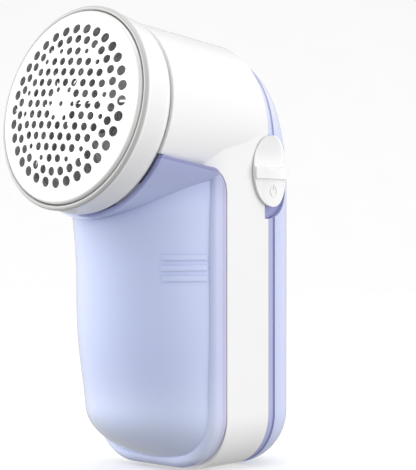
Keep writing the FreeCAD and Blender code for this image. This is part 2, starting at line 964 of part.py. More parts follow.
def motor_terminals():
    tabs = []
    for side in (-1, 1):
        low = (side * BRUSH_PLACE - 0.25, -1.4, S.cap_back - 3.2)
        high = (side * BRUSH_PLACE + 0.25, 1.4, S.motor_back + 0.8)
        tabs.append(box(f"terminal_{side}", low, high))
    return put_in_head(group("motor_terminals", *tabs))


def motor_bushings():
    parts = []
    for label, low, high in (
        ("front_bushing", S.cup_back - 1.0, S.cup_back + 1.6),
        ("rear_bushing", S.cap_back - 0.9, S.cap_back + 1.6),
    ):
        points = rectangle(S.shaft_radius + 0.03, low, 1.9, high)
        parts.append(turned(label, points))
    return put_in_head(group("motor_bushings", *parts))


def motor_magnets():
    shells = []
    for side in (-1, 1):
        ring = turned(f"magnet_ring_{side}", rectangle(7.5, -47.0, 8.98, -30.5))
        left, right = sorted((0, side * 12))
        block = box(f"magnet_block_{side}", (left, -6.0, -50.0), (right, 6.0, -28.0))
        shells.append(common(f"magnet_{side}", ring, block))
    return put_in_head(group("motor_magnets", *shells))


def small_screw(label, head_radius, head_height, shank_radius, shank_length):
    """A pan-head screw along +Z, its head's top at Z = 0, with a cross recess."""
    points = [
        (0.0, 0.0),
        (head_radius * 0.55, 0.0),
        (head_radius, head_height * -0.55),
        (head_radius, -head_height),
        (shank_radius, -head_height),
        (shank_radius, -head_height - shank_length),
        (0.0, -head_height - shank_length - shank_radius),
    ]
    blank = turned(label + "_blank", points, {1: -head_radius})
    span = head_radius * 0.6
    slots = [
        box(label + "_slot_x", (-span, -0.22, head_height * -0.6), (span, 0.22, 1.0)),
        box(label + "_slot_y", (-0.22, -span, head_height * -0.6), (0.22, span, 1.0)),
    ]
    return cut(label, blank, *slots)


def motor_screws():
    screws = []
    for side in (-1, 1):
        screw = small_screw(f"motor_screw_{side}", 1.9, 1.2, 0.9, 3.2)
        screw.Placement = Placement(Vector(side * 6.5, 0, SIZES["cup_floor"] + 1.2), Rotation())
        screws.append(screw)
    return put_in_head(group("motor_screws", *screws))


def motor_shaft():
    points = [
        (0.0, -56.5),
        (0.8, -56.5),
        (S.shaft_radius, -56.3),
        (S.shaft_radius, -11.2),
        (0.8, -11.0),
        (0.0, -11.0),
    ]
    return put_in_head(turned("motor_shaft", points))


def armature_core():
    """Laminated three-pole core."""
    disc = turned("armature_disc", rectangle(S.shaft_radius, -46.0, 7.1, -32.0))
    half = [(3.4, -1.6), (5.9, -3.2), (5.9, -0.5), (8.0, -0.5)]
    section = half + [(x, -y) for x, y in reversed(half)]
    slots = []
    for index in range(3):
        slot = plate(f"armature_slot_{index}", "XY_Plane", -47.0, 16.0, section)
        slot.Placement = Placement(Vector(), Rotation(Vector(0, 0, 1), 60 + 120 * index))
        slots.append(slot)
    return put_in_head(cut("armature_core", disc, *slots))


def armature_windings():
    """One copper coil round each pole, shown as its bulging ends."""
    section = [(2.2, -2.0), (5.6, -2.6), (6.2, 0.0), (5.6, 2.6), (2.2, 2.0)]
    arcs = {1: 4.0, 2: 4.0}
    coils = []
    for end, (low, high) in enumerate(((-48.4, -46.0), (-32.0, -29.8))):
        for index in range(3):
            coil = plate(f"coil_{end}_{index}", "XY_Plane", low, high - low, section, arcs)
            coil.Placement = Placement(Vector(), Rotation(Vector(0, 0, 1), 120 * index))
            coils.append(coil)
    return put_in_head(group("armature_windings", *coils))


def commutator():
    sleeve = turned("commutator_sleeve", rectangle(S.shaft_radius, -51.8, 2.6, -48.6))
    section = rectangle(1.8, -0.2, 3.0, 0.2)
    slits = []
    for index in range(3):
        slit = plate(f"commutator_slit_{index}", "XY_Plane", -54.0, 6.0, section)
        slit.Placement = Placement(Vector(), Rotation(Vector(0, 0, 1), 120 * index))
        slits.append(slit)
    return put_in_head(cut("commutator", sleeve, *slits))


# --------------------------------------------------------------------------------------
# Cutter
# --------------------------------------------------------------------------------------

BLADES = 6
HUB_PLAY = 0.06                  # gap round the drive boss in the hub's socket


def boss_outline(grow):
    """Section of the drive boss: round with two flats."""
    radius = S.boss_radius + grow
    flat = 2.4 + grow
    half = math.sqrt(number(radius) ** 2 - flat ** 2)
    points = [(-half, -flat), (half, -flat), (half, flat), (-half, flat)]
    return points, {1: radius, 3: radius}


def drive_boss():
    points, arcs = boss_outline(0.0)
    post = plate("boss_post", "XY_Plane", S.boss_base, S.boss_front - S.boss_base, points, arcs)
    seat = rod("boss_seat", 5.4, 1.4, (0, 0, S.boss_base - 1.4))
    bore = rod("boss_bore", S.shaft_radius, 9.4, (0, 0, S.boss_base - 1.4))
    return put_in_head(cut("drive_boss", fuse("boss_solid", post, seat), bore))


def cutter_hub():
    points = [
        (0.0, S.hub_back),
        (S.hub_radius - 0.5, S.hub_back),
        (S.hub_radius, S.hub_back + 0.5),
        (S.hub_radius, -5.6),
        (S.hub_radius + 2.0, -5.2),
        (S.hub_radius + 2.0, S.hub_front),
        (2.5, -0.2),
        (0.0, -0.1),
    ]
    core = turned("hub_core", points, {5: 8.0})
    tip = S.blade_reach - 0.5
    section = [(6.0, -1.8), (tip, -1.1), (tip, 1.1), (6.0, 1.8)]
    arms = []
    for index in range(BLADES):
        arm = plate(f"hub_arm_{index}", "XY_Plane", -5.2, S.hub_front + 5.2, section)
        arm.Placement = Placement(Vector(), Rotation(Vector(0, 0, 1), 360 / BLADES * index))
        arms.append(arm)
    socket_points, socket_arcs = boss_outline(HUB_PLAY)
    socket = plate("hub_socket", "XY_Plane", S.hub_back - 1.0, 5.9, socket_points, socket_arcs)
    slots = [feature(f"hub_slot_{index}", blade_shape(index)) for index in range(BLADES)]
    return put_in_head(cut("cutter_hub", fuse("hub_solid", core, *arms), socket, *slots))


def blade_shape(index):
    """One steel cutter blade: a thin plate whose top follows the foil."""
    start = 3.4
    end = SIZES["blade_reach"]
    clearance = SIZES["foil_gauge"] + SIZES["blade_gap"]
    low = SIZES["hub_front"]
    middle = (start + end) / 2
    a = Vector(start, 0, dome_height(start, clearance))
    b = Vector(middle, 0, dome_height(middle, clearance))
    c = Vector(end, 0, dome_height(end, clearance))
    edges = [
        Part.Arc(a, b, c).toShape(),
        Part.makeLine(c, Vector(end, 0, low)),
        Part.makeLine(Vector(end, 0, low), Vector(start, 0, low)),
        Part.makeLine(Vector(start, 0, low), a),
    ]
    gauge = SIZES["blade_gauge"]
    face = Part.Face(Part.Wire(edges))
    face.translate(Vector(0, -gauge / 2, 0))
    blade = face.extrude(Vector(0, gauge, 0))
    blade.rotate(Vector(), Vector(0, 0, 1), 360 / BLADES * index)
    return blade


def cutter_blades():
    blades = [feature(f"blade_{index}", blade_shape(index)) for index in range(BLADES)]
    return put_in_head(group("cutter_blades", *blades))


def cutter_spring():
    """Light coil spring that presses the cutter against the foil."""
    radius = 4.6
    wire = 0.25
    low = SIZES["boss_base"] + wire
    high = SIZES["hub_back"] - wire
    path = Part.makeLongHelix((high - low) / 4.0, high - low, radius)
    ring = Part.Wire(Part.makeCircle(wire, Vector(radius, 0, 0), Vector(0, 1, 0)))
    coil = Part.Wire(path.Edges).makePipeShell([ring], True, True)
    place = HEAD.multiply(Placement(Vector(0, 0, low), Rotation()))
    return feature("cutter_spring", coil, place)


# --------------------------------------------------------------------------------------
# Power slider, switch and track
# --------------------------------------------------------------------------------------


def oval(label):
    """The slider's oval outline, as a prism along X."""
    body = new_body(label)
    sketch = new_sketch(body, "YZ_Plane", 20.0)
    middle = Vector(SIZES["slider_middle"], SIZES["slider_height"], 0)
    long_end = middle + Vector(0, SIZES["slider_long"], 0)
    short_end = middle + Vector(SIZES["slider_short"], 0, 0)
    sketch.addGeometry(Part.Ellipse(long_end, short_end, middle), False)
    fix(sketch, "DistanceX", (-1, 1, 0, 3), S.slider_middle)
    fix(sketch, "DistanceY", (-1, 1, 0, 3), S.slider_height)
    pad = body.newObject("PartDesign::Pad", label + "_pad")
    pad.Profile = sketch
    pad.Length = 12.0
    return body


def slider_section(label, rise, deep=False):
    """The slider's level section: its face curves back with the shell behind it.

    The face stands rise above the flat of the slider. A deep section reaches inward past
    the shell, and any other stops at the gap to the shell's side and rounded rear edge.
    """
    face = S.slider_face + rise
    rear = 25.0
    points = [
        (20.0, 6.9),
        (face, 6.9),
        (face, 11.0),
        (S.slider_face - 2.1 + rise, rear),
        (20.0, rear),
    ]
    arcs = {2: 28.0}
    if not deep:
        side = S.half_width + S.slider_gap
        start = S.back_plane - S.back_round
        sweep = S.back_round + S.slider_gap
        reach = math.sqrt(sweep.value ** 2 - (rear - start.value) ** 2)
        under = S.half_width - S.back_round + reach
        points[0] = (side, 6.9)
        points[4:] = [(under, rear), (side, start)]
        arcs[4] = sweep * -1
    return plate(label, "XY_Plane", S.slider_height - 12.0, 24.0, points, arcs)


def power_icon():
    """Prisms for a generic power sign: a broken ring with a bar in its gap."""
    place = Vector(24.0, SIZES["slider_middle"] + 0.3, SIZES["slider_height"] - 6.2)
    ring = Part.makeCylinder(1.75, 6.0, place, Vector(1, 0, 0))
    ring = ring.cut(Part.makeCylinder(1.4, 6.0, place, Vector(1, 0, 0)))
    gap = Part.makeBox(6.0, 1.3, 2.0, place + Vector(0, -0.65, 0.6))
    bar = Part.makeBox(6.0, 0.36, 1.7, place + Vector(0, -0.18, 0.35))
    return Part.makeCompound([ring.cut(gap), bar])


def power_slider():
    """Oval thumb slider: ridge across the middle, thumb scoop above, power sign below."""
    middle = S.slider_height
    cap = common("slider_cap", oval("slider_oval"), slider_section("slider_skin", 0.0))
    scoop = rod("slider_scoop", 16.0, 40.0, (S.slider_face + 15.3, 0.0, middle + 6.0), (0, 1, 0))
    ridge_points = [
        (20.0, middle - 2.4),
        (30.0, middle - 2.4),
        (30.0, middle - 0.6),
        (S.slider_face - 0.4, middle + 1.5),
        (20.0, middle + 1.5),
    ]
    ridge_view = plate("ridge_view", "XZ_Plane", -40.0, 40.0, ridge_points)
    ridge_skin = slider_section("ridge_skin", S.ridge_rise)
    ridge = common("slider_ridge", oval("ridge_oval"), ridge_skin, ridge_view)
    stem_room = slider_section("stem_skin", -0.3, deep=True)
    stem_box = box("stem_box", (21.6, 17.0, middle - 4.0), (28.0, 21.0, middle + 1.0))
    stem = common("slider_stem", stem_box, stem_room)
    fork = [
        box(f"slider_fork_{index}", (18.9, 17.0, middle + low), (21.7, 21.0, middle + low + 1.2))
        for index, low in enumerate((-4.0, -0.2))
    ]
    prisms = feature("icon_prisms", power_icon())
    icon = common("slider_icon", prisms, slider_section("icon_skin", 0.18))
    return fuse("power_slider", cut("slider_scooped", cap, scoop), ridge, stem, *fork, icon)


def slider_track():
    """Lavender insert that closes the window behind the slider and guides its stem."""
    window = slider_window("track_window", 0.1)
    skin = box("track_skin", (23.4, 5.0, 70.0), (24.4, 30.0, 110.0))
    floor = common("track_floor", window, skin)
    middle = S.slider_height
    slot = box("track_slot", (20.0, 16.7, middle - 8.8), (30.0, 21.3, middle + 1.3))
    return cut("slider_track", floor, slot)


def switch_parts():
    middle = S.slider_height
    body = box("slide_switch", (14.2, 14.6, middle - 8.2), (18.2, 23.2, middle + 3.4))
    window = box("switch_window", (17.4, 18.0, middle - 7.2), (19.0, 20.0, middle + 0.6))
    lever = box("switch_lever", (17.5, 18.1, middle - 2.6), (21.2, 19.9, middle - 0.4))
    lever.Label = "switch_lever"
    board = plate(
        "switch_board", "YZ_Plane", 12.4, 1.6,
        rectangle(13.2, middle - 9.6, 24.6, middle + 5.0),
    )
    return cut("slide_switch_body", body, window), lever, board


# --------------------------------------------------------------------------------------
# Battery and electronics
# --------------------------------------------------------------------------------------

BOARD_SCREW_PLACES = [(-10.5, 42.0), (10.5, 42.0)]


def battery_cell():
    radius = S.cell_radius
    top = S.cell_base + S.cell_length
    points = [
        (0.0, S.cell_base),
        (radius - 0.6, S.cell_base),
        (radius, S.cell_base + 0.6),
        (radius, top - 1.6),
        (radius - 0.6, top - 1.0),
        (3.0, top - 1.0),
        (3.0, top),
        (0.0, top),
    ]
    cell = turned("battery_cell", points)
    cell.Placement = Placement(Vector(0, SIZES["cell_middle"], 0), Rotation())
    return cell


def battery_tabs():
    gauge = 0.3
    middle = S.cell_middle
    base = S.cell_base
    top = base + S.cell_length
    low = box("tab_low", (-2.5, middle - 8.0, base - gauge), (2.5, middle + 4.0, base))
    high = box("tab_high", (-2.0, middle - 9.6, top), (2.0, middle + 2.6, top + gauge))
    lip = box("tab_lip", (-2.0, middle - 9.9, top - 3.0), (2.0, middle - 9.6, top + gauge))
    return group("battery_tabs", low, fuse("tab_high_bent", high, lip))


def battery_cradle():
    """Half-round cradle that holds the cell, open towards the back cover."""
    ring = rod("cradle_out", S.cell_radius + 1.5, 50.0, (0, S.cell_middle, S.cell_base + 7.0))
    bore = rod("cradle_in", S.cell_radius + 0.05, 52.0, (0, S.cell_middle, S.cell_base + 6.0))
    open_side = box("cradle_open", (-20.0, S.cell_middle + 1.5, 0.0), (20.0, 50.0, 120.0))
    front_gap = box("cradle_front", (-4.0, 0.0, 34.0), (4.0, S.cell_middle, 66.0))
    wings = []
    for side in (-1, 1):
        left, right = sorted((side * 10.2, side * 23.5))
        low = (left, S.cell_middle - 3.0, 38.0)
        high = (right, S.cell_middle - 1.4, 62.0)
        wings.append(box(f"cradle_wing_{side}", low, high))
    solid = fuse("cradle_solid", ring, *wings)
    return cut("battery_cradle", solid, bore, open_side, front_gap)


def battery_foam():
    rear = S.back_plane - S.wall - 0.2
    pad = box("foam_block", (-5.0, S.cell_middle + 5.0, 30.0), (5.0, rear, 70.0))
    room = rod("foam_room", S.cell_radius + 0.02, 60.0, (0, S.cell_middle, 20.0))
    return cut("battery_foam_pad", pad, room)


def charge_board():
    back = S.board_front + S.board_gauge
    half = [(5.2, 2.6), (5.2, 8.0), (13.0, 8.0), (13.0, 46.0)]
    points = half + [(-x, z) for x, z in reversed(half)]
    body = plate("charge_board", "XZ_Plane", -back, S.board_gauge, points)
    pocket_sketch = new_sketch(body, "XZ_Plane", -S.board_front)
    for side, height in BOARD_SCREW_PLACES:
        start = Vector(side, height, 0)
        hole = pocket_sketch.addGeometry(Part.Circle(start, Vector(0, 0, 1), 1.2), False)
        fix(pocket_sketch, "DistanceX", (-1, 1, hole, 3), side)
        fix(pocket_sketch, "DistanceY", (-1, 1, hole, 3), height)
        fix(pocket_sketch, "Radius", (hole,), 1.2)
    drill = body.newObject("PartDesign::Pocket", "charge_board_holes")
    drill.Profile = pocket_sketch
    drill.Type = "ThroughAll"
    drill.Midplane = True
    return body


def socket_outline(inset):
    """Section of the charging socket: its two front corners are cut off."""
    half = S.socket_width / 2 - inset
    front = S.board_front - S.socket_depth + inset
    back = S.board_front - inset
    right = [(half - 0.9, front), (half, front + 1.0), (half, back)]
    return [(-x, y) for x, y in right[:1]] + right + [(-x, y) for x, y in reversed(right[1:])]


def usb_socket():
    low = S.socket_base
    high = low + S.socket_length
    block = plate("socket_block", "XY_Plane", low, S.socket_length, socket_outline(0.0))
    room = plate("socket_room", "XY_Plane", low - 1.0, S.socket_length, socket_outline(0.3))
    front = S.board_front - S.socket_depth + 1.35
    bar = box("usb_socket_tongue", (-1.7, front, low + 0.6), (1.7, front + 0.6, high - 1.0))
    bar.Label = "usb_socket_tongue"
    return cut("usb_socket_shell", block, room), bar


def board_components():
    """Charging chip with its legs, two capacitors, a resistor row and an inductor."""
    front = S.board_front
    bodies = [
        box("chip", (-2.0, front - 1.5, 24.0), (2.0, front - 0.2, 29.0)),
        box("inductor", (4.5, front - 2.2, 24.0), (9.5, front, 29.0)),
        box("capacitor_1", (-9.0, front - 1.2, 22.0), (-6.0, front, 23.6)),
        box("capacitor_2", (-9.0, front - 1.2, 27.0), (-6.0, front, 28.6)),
    ]
    for side in (-1, 1):
        left, right = sorted((side * 2.0, side * 3.1))
        for index in range(4):
            low = 24.45 + 1.27 * index
            leg = box(f"leg_{side}_{index}", (left, front - 0.3, low), (right, front, low + 0.4))
            bodies.append(leg)
    for index in range(4):
        left = -8.0 + 4.0 * index
        size = (left + 2.0, front, 35.2)
        bodies.append(box(f"resistor_{index}", (left, front - 0.5, 34.0), size))
    return group("board_components", *bodies)


def board_screws():
    head = 1.3
    spin = Rotation(Vector(0, 0, 1), Vector(0, 1, 0))
    back = SIZES["board_front"] + SIZES["board_gauge"]
    screws = []
    for index, (side, height) in enumerate(BOARD_SCREW_PLACES):
        screw = small_screw(f"board_screw_{index}", 1.9, head, 1.2, 2.2)
        screw.Placement = Placement(Vector(side, back + head, height), spin)
        screws.append(screw)
    return group("board_screws", *screws)


def housing_screws():
    head = 1.8
    spin = Rotation(Vector(0, 0, 1), Vector(0, -1, 0))
    seat = SIZES["bin_plane"] + RECESS_DEPTH
    screws = []
    for index, (side, height) in enumerate(SCREW_PLACES, start=1):
        screw = small_screw(f"housing_screw_{index}", 2.8, head, 1.5, 22.0)
        screw.Placement = Placement(Vector(side, seat - head, height), spin)
        screws.append(screw)
    return group("housing_screws", *screws)


def lead(label, route, radius):
    """A wire along straight runs joined by tangent arcs, each as large as fits."""
    points = [Vector(*place) for place in route]
    edges = []
    start = points[0]
    for before, corner, after in zip(points, points[1:], points[2:]):
        into = (corner - before).normalize()
        out = (after - corner).normalize()
        turn = into.getAngle(out)
        run = min((corner - before).Length, (after - corner).Length)
        setback = 0.45 * run
        size = setback / math.tan(turn / 2)
        first = corner - into * setback
        last = corner + out * setback
        halfway = (out - into).normalize()
        middle = corner + halfway * (size / math.cos(turn / 2) - size)
        edges.append(Part.makeLine(start, first))
        edges.append(Part.Arc(first, middle, last).toShape())
        start = last
    edges.append(Part.makeLine(start, points[-1]))
    path = Part.Wire(edges)
    direction = points[1] - points[0]
    ring = Part.Wire(Part.makeCircle(radius, points[0], direction))
    wire = path.makePipeShell([ring], True, False)
    expected = math.pi * radius ** 2 * path.Length
    if abs(wire.Volume - expected) > 0.03 * expected:
        raise RuntimeError(f"{label}: swept volume {wire.Volume:.2f}, expected {expected:.2f}")
    return feature(label, wire)


LEAD_RADIUS = 0.55
LEADS = {
    "motor_lead_red": [
        (7.0, 12.7, 99.8),
        (8.2, 15.8, 99.2),
        (10.6, 17.4, 96.0),
        (11.7, 17.8, 91.5),
    ],
    "motor_lead_black": [
        (-7.0, 12.7, 99.8),
        (-11.0, 15.0, 96.0),
        (-14.2, 14.5, 83.0),
        (-14.6, 12.8, 66.0),
        (-15.2, 13.8, 50.0),
        (-12.4, 13.8, 37.0),
        (-8.0, 11.8, 30.0),
    ],
    "battery_lead_red": [
        (0.0, 12.0, 79.6),
        (-4.5, 8.0, 72.0),
        (-6.5, 7.0, 60.0),
        (-6.0, 8.2, 48.6),
        (-4.0, 8.9, 40.0),
    ],
    "battery_lead_black": [
        (0.0, 14.6, 17.2),
        (3.6, 13.2, 15.6),
        (6.6, 12.4, 18.6),
        (7.0, 12.0, 23.0),
    ],
}


# --------------------------------------------------------------------------------------
# Build, check and write
# --------------------------------------------------------------------------------------


def build():
    switch_body, lever, switch_board = switch_parts()
    socket_shell, socket_tongue = usb_socket()
    pieces = [
        front_housing(),
        back_cover(),
        lint_bin(),
        foil_guard(),
        foil_frame(),
        head_ring(),
        ring_trim(),
        cutter_chamber(),
        motor_can(),
        motor_end_cap(),
        motor_terminals(),
        motor_bushings(),
        motor_magnets(),
        motor_screws(),
        motor_shaft(),
        armature_core(),
        armature_windings(),
        commutator(),
        drive_boss(),
        cutter_hub(),
        cutter_blades(),
        cutter_spring(),
        power_slider(),
        slider_track(),
        switch_body,
        lever,
        switch_board,
        battery_cell(),
        battery_tabs(),
        battery_cradle(),
        battery_foam(),
        charge_board(),
        socket_shell,
        socket_tongue,
        board_components(),
        board_screws(),
        housing_screws(),
    ]
    for label, route in LEADS.items():
        pieces.append(lead(label, route, LEAD_RADIUS))
    for piece in pieces:
        node(piece)


def check():
    """Stop if any object failed, or if a sub-part has no sound shape."""
    for thing in doc.Objects:
        if "Invalid" in thing.State or "Error" in thing.State:
            raise RuntimeError(f"{thing.Name} failed: {thing.State}")
    for thing in NODES:
        if thing.Shape.isNull() or not thing.Shape.isValid():
            raise RuntimeError(f"{thing.Label} has no valid shape")


def write():
    os.makedirs("parts", exist_ok=True)
    for thing in NODES:
        thing.Shape.exportStep(os.path.join("parts", thing.Label + ".step"))
        bounds = thing.Shape.optimalBoundingBox()
        print(
            f"{thing.Label:20s} solids {len(thing.Shape.Solids)}"
            f"  X {bounds.XMin:7.2f} {bounds.XMax:7.2f}"
            f"  Y {bounds.YMin:7.2f} {bounds.YMax:7.2f}"
            f"  Z {bounds.ZMin:7.2f} {bounds.ZMax:7.2f}"
            f"  volume {thing.Shape.Volume:9.1f}"
        )


build()
doc.recompute()
check()
write()
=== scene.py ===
"""Looks of the rechargeable fabric shaver: finishes, floor, light and camera.

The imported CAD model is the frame. Every length here is in metres.
"""

import json
import math

import bpy
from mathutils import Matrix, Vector

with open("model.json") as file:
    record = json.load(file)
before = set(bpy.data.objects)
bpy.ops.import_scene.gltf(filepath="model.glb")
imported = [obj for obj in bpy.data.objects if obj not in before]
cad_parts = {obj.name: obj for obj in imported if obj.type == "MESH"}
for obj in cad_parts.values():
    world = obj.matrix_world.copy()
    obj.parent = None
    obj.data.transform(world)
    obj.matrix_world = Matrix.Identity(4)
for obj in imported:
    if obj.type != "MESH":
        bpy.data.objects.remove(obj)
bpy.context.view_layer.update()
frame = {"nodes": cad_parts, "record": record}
NODES = frame["nodes"]
MM = 0.001
UP = (0, 0, 1)
BACK = (0, 1, 0)

# How far two tones of one piece blend into each other, in metres.
SOFT_EDGE = 0.0003


# --------------------------------------------------------------------------------------
# Shader helpers
# --------------------------------------------------------------------------------------


def add_node(tree, kind, **settings):
    """A new shader node, with input values given by socket name and settings by attribute."""
    node = tree.nodes.new(kind)
    for name, value in settings.items():
        if name in node.inputs:
            node.inputs[name].default_value = value
        else:
            setattr(node, name, value)
    return node


def start_material(name):
    """A new material, its node tree and its Principled shader."""
    material = bpy.data.materials.new(name)
    material.use_nodes = True
    tree = material.node_tree
    return material, tree, tree.nodes["Principled BSDF"]


def object_place(tree, stretch=(1, 1, 1)):
    """Object coordinates, in metres in the row frame, stretched along each axis."""
    place = add_node(tree, "ShaderNodeTexCoord")
    mapping = add_node(tree, "ShaderNodeMapping", Scale=stretch)
    tree.links.new(place.outputs["Object"], mapping.inputs["Vector"])
    return mapping.outputs["Vector"]


def noise(tree, size, detail=3.0, stretch=(1, 1, 1)):
    """Noise from 0 to 1 whose features are about size metres across."""
    node = add_node(tree, "ShaderNodeTexNoise", Scale=1 / size, Detail=detail)
    tree.links.new(object_place(tree, stretch), node.inputs["Vector"])
    return node.outputs["Fac"]


def spread(tree, source, low, high, from_low=0.3, from_high=0.7):
    """A value from low to high as the source goes from from_low to from_high."""
    node = add_node(tree, "ShaderNodeMapRange")
    node.inputs["From Min"].default_value = from_low
    node.inputs["From Max"].default_value = from_high
    node.inputs["To Min"].default_value = low
    node.inputs["To Max"].default_value = high
    tree.links.new(source, node.inputs["Value"])
    return node.outputs["Result"]


def blend_colours(tree, source, first, second):
    """A colour between first and second, by the source from 0 to 1."""
    node = add_node(tree, "ShaderNodeMix", data_type="RGBA")
    node.inputs[6].default_value = (*first, 1)
    node.inputs[7].default_value = (*second, 1)
    tree.links.new(source, node.inputs[0])
    return node.outputs[2]


def zone(tree, direction, start, end):
    """A soft step from 0 to 1 between two distances along the direction, in metres."""
    along = add_node(tree, "ShaderNodeVectorMath", operation="DOT_PRODUCT")
    along.inputs[1].default_value = direction
    tree.links.new(object_place(tree), along.inputs[0])
    step = add_node(tree, "ShaderNodeMapRange", interpolation_type="SMOOTHSTEP")
    step.inputs["From Min"].default_value = start
    step.inputs["From Max"].default_value = end
    tree.links.new(along.outputs["Value"], step.inputs["Value"])
    return step.outputs["Result"]


def times(tree, first, second):
    """The product of two values."""
    node = add_node(tree, "ShaderNodeMath", operation="MULTIPLY")
    tree.links.new(first, node.inputs[0])
    tree.links.new(second, node.inputs[1])
    return node.outputs["Value"]


def tint_where(tree, shader, source, tint):
    """Multiply the base colour by the tint where the source is 1."""
    node = add_node(tree, "ShaderNodeMix", data_type="RGBA", blend_type="MULTIPLY")
    node.inputs[7].default_value = (*tint, 1)
    tree.links.new(source, node.inputs[0])
    tree.links.new(shader.inputs["Base Color"].links[0].from_socket, node.inputs[6])
    tree.links.new(node.outputs[2], shader.inputs["Base Color"])


def paint_shade_in_creases(tree, shader, reach, tint):
    """Painted shade: tint the colour in creases and corners that are narrower than the reach."""
    open_sky = add_node(tree, "ShaderNodeAmbientOcclusion", Distance=reach, samples=8)
    tint_where(tree, shader, spread(tree, open_sky.outputs["AO"], 1.0, 0.0, 0.45, 0.95), tint)


def add_bump(tree, shader, source, depth, strength=1.0):
    """Surface relief depth metres high from a source of 0 to 1, over any there already."""
    node = add_node(tree, "ShaderNodeBump", Strength=strength, Distance=depth)
    tree.links.new(source, node.inputs["Height"])
    if shader.inputs["Normal"].is_linked:
        tree.links.new(shader.inputs["Normal"].links[0].from_socket, node.inputs["Normal"])
    tree.links.new(node.outputs["Normal"], shader.inputs["Normal"])


def shade(colour, factor):
    """The colour made lighter or darker."""
    return tuple(min(1.0, channel * factor) for channel in colour)


# --------------------------------------------------------------------------------------
# Finishes
# --------------------------------------------------------------------------------------


def moulded(name, colour, gloss=0.22, coat=0.0, peel=0.012, scatter=0.0, variation=0.02):
    """Injection-moulded plastic: faint flow clouds, orange peel and fine handling marks."""
    material, tree, shader = start_material(name)
    clouds = noise(tree, 0.03, detail=2.0)
    lighter, darker = shade(colour, 1 + variation), shade(colour, 1 - variation)
    tree.links.new(blend_colours(tree, clouds, darker, lighter), shader.inputs["Base Color"])
    marks = noise(tree, 0.002, detail=5.0)
    tree.links.new(spread(tree, marks, gloss * 0.85, gloss * 1.2), shader.inputs["Roughness"])
    add_bump(tree, shader, noise(tree, 0.0035, detail=2.0), peel * MM, 0.6)
    add_bump(tree, shader, noise(tree, 0.00035, detail=3.0), peel * MM * 0.12, 0.5)
    shader.inputs["IOR"].default_value = 1.49
    shader.inputs["Coat Weight"].default_value = coat
    shader.inputs["Coat Roughness"].default_value = 0.06
    shader.inputs["Subsurface Weight"].default_value = scatter
    shader.inputs["Subsurface Radius"].default_value = (1.0, 0.9, 0.8)
    shader.inputs["Subsurface Scale"].default_value = 0.0012
    return material


def metal(name, colour, rough=0.3, grain=(1, 1, 1), grain_size=0.0006, depth=0.004):
    """Metal with fine grain: the noise is drawn out along the axis whose grain is small."""
    material, tree, shader = start_material(name)
    shader.inputs["Metallic"].default_value = 1.0
    clouds = noise(tree, 0.006, detail=3.0)
    tones = blend_colours(tree, clouds, shade(colour, 0.93), shade(colour, 1.05))
    tree.links.new(tones, shader.inputs["Base Color"])
    lines = noise(tree, grain_size, detail=4.0, stretch=grain)
    tree.links.new(spread(tree, lines, rough * 0.75, rough * 1.3), shader.inputs["Roughness"])
    add_bump(tree, shader, lines, depth * MM, 0.5)
    return material


def foil_steel(name):
    """Pearly etched steel of the foil: fine grain over faint, wide hollows."""
    material, tree, shader = start_material(name)
    shader.inputs["Metallic"].default_value = 0.3
    clouds = noise(tree, 0.004, detail=4.0)
    tones = blend_colours(tree, clouds, (0.755, 0.75, 0.74), (0.80, 0.795, 0.79))
    tree.links.new(tones, shader.inputs["Base Color"])
    grain = noise(tree, 0.0003, detail=4.0)
    tree.links.new(spread(tree, grain, 0.3, 0.46), shader.inputs["Roughness"])
    add_bump(tree, shader, grain, 0.004 * MM, 0.5)
    add_bump(tree, shader, noise(tree, 0.009, detail=2.0), 0.02 * MM, 0.5)
    return material


WHITE = (0.86, 0.86, 0.865)
LAVENDER = (0.53, 0.585, 0.85)
LAVENDER_MILK = (0.585, 0.655, 0.97)

# Where each band of the bin's rim starts, front to back in metres, and its tint.
RIM_BANDS = [
    (-0.0106, (1.02, 1.00, 0.95)),
    (-0.0080, (0.93, 0.90, 0.92)),
    (-0.0063, (0.90, 0.85, 0.87)),
]


# The bin's top edge falls by an eighth towards the back, so it is level along this direction.
TOP_EDGE = (0, 0.125, 1)


def bin_plastic(name):
    """Milky lavender of the lint bin: light soaks in and its rim is greyer; painted light makes
    its bottom paler, painted shade darkens its top and creases.
    """
    material = moulded(
        name,
        LAVENDER_MILK,
        gloss=0.17,
        coat=0.5,
        peel=0.02,
        scatter=0.35,
        variation=0.03,
    )
    tree = material.node_tree
    shader = tree.nodes["Principled BSDF"]
    shader.inputs["Subsurface Scale"].default_value = 0.004
    # Painted light: the bottom of the bin is made paler, as if lit from the bright floor.
    tint_where(tree, shader, zone(tree, UP, 0.036, 0.012), (1.12, 1.11, 1.03))
    # Painted shade: the top of the bin, under the head, is made darker.
    tint_where(tree, shader, zone(tree, UP, 0.079, 0.092), (0.74, 0.73, 0.80))
    # Painted shadow: above its top edge, where it meets the neck, the bin is made darker still,
    # so the edge shows as a shadow line.
    tint_where(tree, shader, zone(tree, TOP_EDGE, 0.0893, 0.0897), (0.70, 0.68, 0.78))
    for start, tint in RIM_BANDS:
        tint_where(tree, shader, zone(tree, BACK, start, start + SOFT_EDGE), tint)
    # Painted shade in the bin's creases and corners, such as where its tongue meets the rim.
    paint_shade_in_creases(tree, shader, 0.005, (0.70, 0.70, 0.80))
    return material


